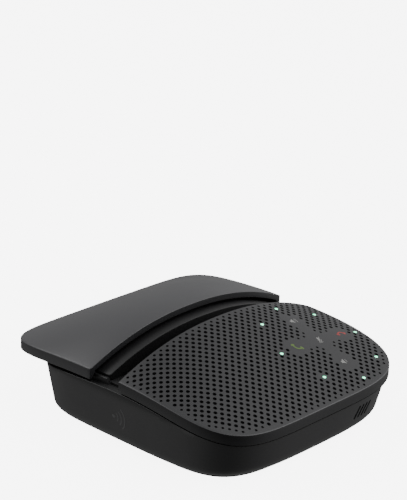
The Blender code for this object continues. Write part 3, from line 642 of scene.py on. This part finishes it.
softPlan, edgePlan = coverPlan(cover["round"], cover["lineRound"]), coverPlan(0.0, 0.0)
levels = np.linspace(1 / cover["levels"], 1, cover["levels"])
coverRings = [lifted(shared(softPlan, s)) for s in levels[:-1]]
edgeTop = lifted(edgePlan)
onLine = np.abs(edgePlan[:, 1] - cover["front"]) < cover["lineZone"]
below = edgeTop - [0, 0, 1] * np.where(onLine, cover["lineRound"], cover["round"])[:, None]
coverRings += bezierRings(lifted(softPlan), edgeTop, below, 6)
footEdge = coverFoot(edgePlan)
footSoft = ring(coverPlan(footRound, footRound), footEdge)
coverRings += bezierRings(ring(edgePlan, footEdge + footRound), ring(edgePlan, footEdge), footSoft, 3)
innerCover = coverPlan(cover["thickness"], cover["thickness"])
coverRings.append(ring(innerCover, footEdge))
coverRings.append(lifted(innerCover, cover["thickness"]))
coverRings += [lifted(shared(innerCover, s), cover["thickness"]) for s in levels[::-1][1:]]
centreTop = float(topZ(*cover["centre"]))
coverPoles = [(*cover["centre"], centreTop), (*cover["centre"], centreTop - cover["thickness"])]
points, faces = skin(coverRings, *coverPoles)
points[:, 1] += form["travel"]
standCover = makePiece("standCover", [(points, faces)], coverAbs, "cover", sharp=40)
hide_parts("stand_cover")
print("cover made")

# Base shell.

base = {
    "seam": 0.6, "shoulderRise": 0.35, "taper": 0.148, "cornerTaper": 0.1, "wallTop": 24.2, "topInset": 0.05,
    "lowZ": 6.0, "bottomZ": 1.0, "rimInset": 7.4, "rimHeight": 2.0, "wall": 2.0, "count": 360,
    "pathCount": 4000, "lip": 1.3, "lipInset": 3.1, "lipRise": 2.1, "lipRound": 0.5, "lipFoot": 0.4,
    "lipDrop": 2.0, "slotFront": 3.3, "slotBack": 12.8, "slotBlend": 0.5,
    "vents": 4, "ventX": 29.2, "ventZ": 10.8, "ventPitch": 2.7, "ventWidth": 1.35, "ventLength": 6.4,
    "ventLean": 26, "buttonX": 59.9, "buttonZ": 14.0, "buttonPlaces": (16.0, 28.0), "buttonSize": (8.6, 4.0),
    "buttonRound": 1.2, "jackX": 59.7, "jackY": 41.0, "jackRadius": 3.5, "markX": -59.9, "markY": 4.0,
    "markZ": 14.6, "gridStep": 1.6, "gridTop": 25.5, "gridMargin": 0.8, "gridClear": 0.45,
    "lowEdge": (
        (6.0, 0.0), (5.1, 0.1), (4.2, 0.38), (3.4, 0.82), (2.7, 1.4), (2.1, 2.1), (1.6, 2.9), (1.2, 3.9),
        (1.0, 5.0),
    ),
}


def wallInset(z, corner=0.0):
    # The wall leans in going down, and leans more at its two front corners.
    below = np.maximum(base["wallTop"] - np.asarray(z, float), 0)
    return base["topInset"] + (base["taper"] + base["cornerTaper"] * corner) * below


# The wall is drawn flat, with u the distance round it and v the height, then wrapped: each u keeps its place
# on the outline while the outline shrinks with height. Its seam is at the middle of the rear.
roundPath = wholeOutline(0.0, base["pathCount"])
roundPath = np.concatenate([roundPath, roundPath[:1]])
roundLength = np.concatenate([[0], np.cumsum(np.linalg.norm(np.diff(roundPath, axis=0), axis=1))])
seamStart = roundLength[base["pathCount"] // 4]


def wrapped(u, z, more=0.0):
    # Lays a flat point on the wall, or more millimetres inside it.
    u = np.mod(u + seamStart, roundLength[-1])
    x = np.interp(u, roundLength, roundPath[:, 0])
    y = np.interp(u, roundLength, roundPath[:, 1])
    corner = np.where(y < 0, (x * y / (form["halfWidth"] * form["halfDepth"])) ** 2, 0)
    inset = wallInset(z, corner) + more
    plan = np.stack([x * (1 - inset / form["halfWidth"]), y * (1 - inset / form["halfDepth"])], 1)
    return np.column_stack([plan, np.broadcast_to(z, len(plan))])


def unwrap(x, y):
    # The distance round the wall of the outline point nearest to (x, y).
    nearest = np.argmin(np.hypot(roundPath[:-1, 0] - x, roundPath[:-1, 1] - y))
    return np.mod(roundLength[nearest] - seamStart, roundLength[-1])


def frontY(x):
    # The depth of the outline's front at x.
    share = abs(x) / form["halfWidth"]
    return -form["halfDepth"] * (1 - share ** form["frontPower"]) ** (1 / form["frontPower"])


def roundedBlock(centre, size, radius, count=6):
    # A rectangle with round corners.
    made = []
    for sx, sy, start in ((1, -1, -90), (1, 1, 0), (-1, 1, 90), (-1, -1, 180)):
        a = np.radians(start + np.linspace(0, 90, count))
        spot = np.array([sx * (size[0] / 2 - radius), sy * (size[1] / 2 - radius)])
        made.append(spot + radius * np.stack([np.cos(a), np.sin(a)], 1))
    return np.concatenate(made) + centre


uStops = np.linspace(0, roundLength[-1], base["count"] + 1)
topLine = wrapped(uStops, 20.0)
shoulderZ = seamZ(topLine[:, 1]) - base["seam"] - base["shoulderRise"]
outer = np.concatenate([
    np.stack([uStops, np.full(len(uStops), base["lowZ"])], 1),
    np.stack([uStops[::-1], shoulderZ[::-1]], 1),
])
wallLoops = []
lean = math.radians(base["ventLean"])
reach = (base["ventLength"] - base["ventWidth"]) / 2
tip = np.array([math.sin(lean), math.cos(lean)]) * reach
for k in range(base["vents"]):
    x = base["ventX"] + (k - (base["vents"] - 1) / 2) * base["ventPitch"]
    middle = np.array([unwrap(x, frontY(x)), base["ventZ"]])
    wallLoops.append(pill(middle - tip, middle + tip, base["ventWidth"] / 2, 10))
for y in base["buttonPlaces"]:
    middle = (unwrap(base["buttonX"], y), base["buttonZ"])
    wallLoops.append(roundedBlock(middle, base["buttonSize"], base["buttonRound"]))
wallLoops.append(circle((unwrap(base["jackX"], base["jackY"]), base["buttonZ"]), base["jackRadius"], 32))
rowsZ = np.arange(base["lowZ"] + base["gridStep"], base["gridTop"], base["gridStep"])
gridU, gridZ = np.meshgrid(uStops[1:-1], rowsZ)
loose = np.stack([gridU.ravel(), gridZ.ravel()], 1)
loose = loose[loose[:, 1] < np.interp(loose[:, 0], uStops, shoulderZ) - base["gridMargin"]]
loose = loose[outsideLoops(loose, wallLoops, base["gridClear"])]
flat, triangles = holedSheet(outer, wallLoops, loose)
middles = flat[triangles].mean(1)
triangles = triangles[middles[:, 1] < np.interp(middles[:, 0], uStops, shoulderZ)]
blocks = [(wrapped(flat[:, 0], flat[:, 1]), triangles.tolist())]
for loop in wallLoops:
    blocks.append(skin([wrapped(loop[:, 0], loop[:, 1], more) for more in (0.0, base["wall"])]))
wallStops = uStops[:-1]


def wallPlan(more):
    # The plan of the wall's top, moved in.
    top = np.full(len(wallStops), base["wallTop"])
    return wrapped(wallStops, top, more - base["topInset"])[:, :2]


lowRings = [wrapped(wallStops, np.full(len(wallStops), z), more) for z, more in base["lowEdge"]]
lowRings.append(ring(wallPlan(base["rimInset"]), base["bottomZ"]))
lowRings.append(ring(wallPlan(base["rimInset"]), base["bottomZ"] + base["rimHeight"]))
blocks.append(skin(lowRings))
shoulder = wrapped(wallStops, shoulderZ[:-1])
ledgeZ = shoulderZ[:-1] + base["shoulderRise"]
turnIn = [shoulder]
turnIn += bezierRings(shoulder, ring(wallPlan(0.1), ledgeZ - 0.02), ring(wallPlan(0.4), ledgeZ), 4)
# The lip drops to a low ledge where the slot runs out at the sides.
lipPlan = wallPlan(base["lipInset"])
alongY = topLine[:-1, 1]
inSlot = np.clip(np.minimum(alongY - base["slotFront"], base["slotBack"] - alongY) / base["slotBlend"], 0, 1)
lipTop = ledgeZ + np.maximum((base["seam"] + base["lipRise"]) * (1 - inSlot), 0.02)
turnIn.append(ring(lipPlan, ledgeZ))
lipSide = ring(lipPlan, np.maximum(lipTop - base["lipRound"], ledgeZ + 0.01))
lipSoft = ring(wallPlan(base["lipInset"] + base["lipRound"]), lipTop)
turnIn += bezierRings(lipSide, ring(lipPlan, lipTop), lipSoft, 3)
lipBack = base["lipInset"] + base["lip"]
turnIn.append(ring(wallPlan(lipBack), lipTop))
turnIn.append(ring(wallPlan(lipBack + base["lipFoot"]), shoulderZ[:-1] - base["lipDrop"]))
blocks.append(skin(turnIn))
baseShell = makePiece("baseShell", blocks, baseAbs, "base", sharp=36)
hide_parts("base_shell")
print("base made")

# A plain touch point printed on the left wall: a dot and three arcs.
touchMark = [circle((-3.0, 0.0), 0.85, 20)]
touchMark += [band(radius, 0.55, -45, 45, (-3.0, 0.0)) for radius in (2.6, 4.6, 6.6)]


def wallPrint(name, shapes, u, z, material):
    # Printed 0.03 mm outside the wall.
    blocks = []
    for shape in shapes:
        faces = tessellate_polygon([[Vector((x, y, 0)) for x, y in shape]])
        blocks.append((wrapped(u + shape[:, 0], z + shape[:, 1], -0.03), faces))
    made = makePiece(name, blocks, material, "base", weld=False)
    middle = made.data.polygons[0]
    if middle.normal.x * middle.center.x < 0:
        for polygon in made.data.polygons:
            polygon.flip()


satinInk = moulded("satinInk", "#3a3a3c", 0.3)
wallPrint("touchMark", touchMark, unwrap(base["markX"], base["markY"]), base["markZ"], satinInk)

# Deck, slot and side buttons.

deck = {
    "front": 13.1, "inset": 5.2, "drop": 4.4, "centre": (0.0, 33.0), "round": 0.3, "corner": 0.8,
    "levels": 20, "footDrop": 1.5, "footLow": 20.0,
}


def deckPlan(inset):
    corner = max(deck["corner"] - inset, 0.05)
    return rearOutline(deck["inset"] + inset, deck["front"] + inset, corner=corner)


def deckAt(plan, drop=0.0):
    # The deck runs parallel to the top surface.
    return ring(plan, topZ(plan[:, 0], plan[:, 1]) - deck["drop"] - drop)


deckSoft, deckEdge = deckPlan(deck["round"]), deckPlan(0.0)
centre = np.array(deck["centre"])
deckRings = [deckAt(centre + s * (deckSoft - centre)) for s in np.linspace(0.05, 0.96, deck["levels"])]
deckRings += bezierRings(deckAt(deckSoft), deckAt(deckEdge), deckAt(deckEdge, deck["round"]), 5)
deckFoot = np.maximum(seamZ(deckEdge[:, 1]) - deck["footDrop"], deck["footLow"])
deckRings.append(ring(deckEdge, deckFoot))
deckPole = (*deck["centre"], float(topZ(*deck["centre"])) - deck["drop"])
deckPiece = makePiece("deckBody", [skin(deckRings, deckPole)], deckAbs, "base", sharp=40)
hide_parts("deck")

# Each step of a button's profile is (how far in from its sides, how far out from the wall past its face).
buttons = {
    "in": 54.4, "proud": 0.9, "size": (8.0, 3.4), "radius": 0.9, "middle": 0.07,
    "profile": ((0, -0.35), (0.12, -0.1), (0.4, 0.0), (1.2, 0.06)),
}
wallX = form["halfWidth"] - float(wallInset(base["buttonZ"]))
profile = [(inset, wallX + buttons["proud"] + out) for inset, out in buttons["profile"]]
for name, y in zip(("power_button", "pairing_button"), base["buttonPlaces"]):
    rings = []
    for inset, x in ((0, buttons["in"]), *profile):
        size = [s - 2 * inset for s in buttons["size"]]
        flatRing = roundedBlock((y, base["buttonZ"]), size, max(buttons["radius"] - inset, 0.1))
        rings.append(np.column_stack([np.full(len(flatRing), x), flatRing]))
    pole = (wallX + buttons["proud"] + buttons["middle"], y, base["buttonZ"])
    cap = makePiece(name.replace("_b", "B"), [skin(rings, poleEnd=pole)], deckAbs, name, sharp=50)
    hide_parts(name)
print("deck and buttons made")

# Pieces kept from the CAD. Those not named here are plated steel.

kept = {
    "bottom_cover": baseAbs, "slot_floor": deckAbs, "slot_pad": padRubber, "speaker_cloth": blackCloth,
    "foot_ring": footRubber, "cord_gland": footRubber, "speaker_surround": footRubber,
    "mic_boot_left": footRubber, "mic_boot_right": footRubber,
    "headset_jack": innerAbs, "speaker_chamber": innerAbs, "chassis": innerAbs, "processor": innerAbs,
    "control_board": boardMask, "main_board": boardMask, "side_board": boardMask, "battery_pack": foilPouch,
    "speaker_magnet": magnetSteel, "touch_film": copper, "voice_coil": copper, "tag_antenna": copper,
    "speaker_cone": paper, "dust_cap": paper, "detent_spring": springSteel, "cover_rail_left": acetal,
    "cover_rail_right": acetal, "slide_guide_left": acetal, "slide_guide_right": acetal,
}
for name, node in frame["nodes"].items():
    node.data.materials.clear()
    node.data.materials.append(kept.get(name, platedSteel))
print("frame pieces finished")

# Studio.

# Each panel of the room is (azimuth, elevation, edge, brightness): azimuth 0 is +Y and 90 is +X, and the
# panel fades out where the cosine of the angle to its middle falls to the edge.
studio = {
    "floor": "#f4f4f4", "floorGlow": 6.5, "floorSize": 6.0, "floorZ": -0.0001, "azimuth": -47.74,
    "elevation": 20.76, "roll": 0.0378, "distance": 753.6, "aside": (7.98, -53.95),
    "pivot": (0.0, 0.0, 13.76), "lens": 126.24, "shift": (-0.00076, 0.0128),
    "lightPlace": (-0.27, 0.55, 0.62), "lightTarget": (0, 0, 0.03), "lightSize": (0.4, 0.3),
    "lightPower": 2.2,
    "panels": (
        (0, 90, -0.1, 11.5), (0, -90, 0.3, 5.5), (135, 45, 0.6, 20.0),
        (45, 12, 0.75, 7.0), (90, 12, 0.75, 11.0), (135, 12, 0.75, 18.0),
        (0, -30, 0.65, 3.2), (90, -30, 0.65, 4.6), (135, -30, 0.65, 3.0),
        (270, -30, 0.65, 2.5), (315, -30, 0.65, 6.6),
    ),
}

# Paper sweep: matt, and evenly bright from edge to edge.
paperSweep = bpy.data.materials.new("paperSweep")
paperSweep.use_nodes = True
sweepShader = paperSweep.node_tree.nodes["Principled BSDF"]
sweepShader.inputs["Base Color"].default_value = (*linear(studio["floor"]), 1)
sweepShader.inputs["Roughness"].default_value = 0.9
sweepShader.inputs["Emission Color"].default_value = (1, 1, 1, 1)
sweepShader.inputs["Emission Strength"].default_value = studio["floorGlow"]
half = studio["floorSize"] / 2
floorMesh = bpy.data.meshes.new("floor")
corners = [(-half, -half, 0), (half, -half, 0), (half, half, 0), (-half, half, 0)]
floorMesh.from_pydata(corners, [], [(0, 1, 2, 3)])
floorMesh.materials.append(paperSweep)
floor = bpy.data.objects.new("floor", floorMesh)
bpy.context.scene.collection.objects.link(floor)
floor.location.z = studio["floorZ"]
# The room's lower half stands for the light that the floor sends back, so the floor lets that light pass.
floor.visible_glossy = False
floor.visible_diffuse = False
floor.visible_shadow = False

edgeLamp = bpy.data.lights.new("edgeLight", "AREA")
edgeLamp.shape = "RECTANGLE"
edgeLamp.size, edgeLamp.size_y = studio["lightSize"]
edgeLamp.energy = studio["lightPower"]
edgeLight = bpy.data.objects.new("edgeLight", edgeLamp)
bpy.context.scene.collection.objects.link(edgeLight)
edgeLight.location = studio["lightPlace"]
edgeLight.rotation_mode = "QUATERNION"
heading = Vector(studio["lightTarget"]) - Vector(studio["lightPlace"])
edgeLight.rotation_quaternion = heading.to_track_quat("-Z", "Y")

worldLight = bpy.data.worlds.new("studio")
bpy.context.scene.world = worldLight
worldLight.use_nodes = True
tree = worldLight.node_tree
ambient = tree.nodes["Background"]
direction = addNode(tree, "ShaderNodeTexCoord").outputs["Generated"]
total = None
for azimuth, elevation, edge, bright in studio["panels"]:
    a, e = math.radians(azimuth), math.radians(elevation)
    dot = addNode(tree, "ShaderNodeVectorMath", {"Vector": direction}, operation="DOT_PRODUCT")
    dot.inputs[1].default_value = (math.sin(a) * math.cos(e), math.cos(a) * math.cos(e), math.sin(e))
    panel = addNode(tree, "ShaderNodeMapRange", {"Value": dot.outputs["Value"]}, From_Min=edge, From_Max=1.0,
                    To_Min=0.0, To_Max=bright, interpolation_type="SMOOTHSTEP")
    glow = panel.outputs["Result"]
    if total:
        glow = addNode(tree, "ShaderNodeMath", {0: total, 1: glow}, operation="ADD").outputs[0]
    total = glow
tree.links.new(total, ambient.inputs["Strength"])

# Camera: aimed at the pivot, moved aside and rolled in its own plane.
a, e, roll = math.radians(studio["azimuth"]), math.radians(studio["elevation"]), studio["roll"]
back = Vector((math.sin(a) * math.cos(e), -math.cos(a) * math.cos(e), math.sin(e)))
right = Vector((0, 0, 1)).cross(back).normalized()
up = back.cross(right)
axisX = math.cos(roll) * right + math.sin(roll) * up
axisY = -math.sin(roll) * right + math.cos(roll) * up
aside, rise = studio["aside"]
spot = Vector(studio["pivot"]) - aside * axisX - rise * axisY + studio["distance"] * back
camera = bpy.data.objects.new("camera", bpy.data.cameras.new("camera"))
bpy.context.scene.collection.objects.link(camera)
facing = Matrix((axisX, axisY, back)).transposed().to_4x4()
camera.matrix_world = Matrix.Translation(Vector(world([spot])[0])) @ facing
camera.data.lens = studio["lens"]
camera.data.sensor_width = 36.0
camera.data.shift_x, camera.data.shift_y = studio["shift"]
camera.data.dof.use_dof = False
bpy.context.scene.camera = camera

print("scene ready")
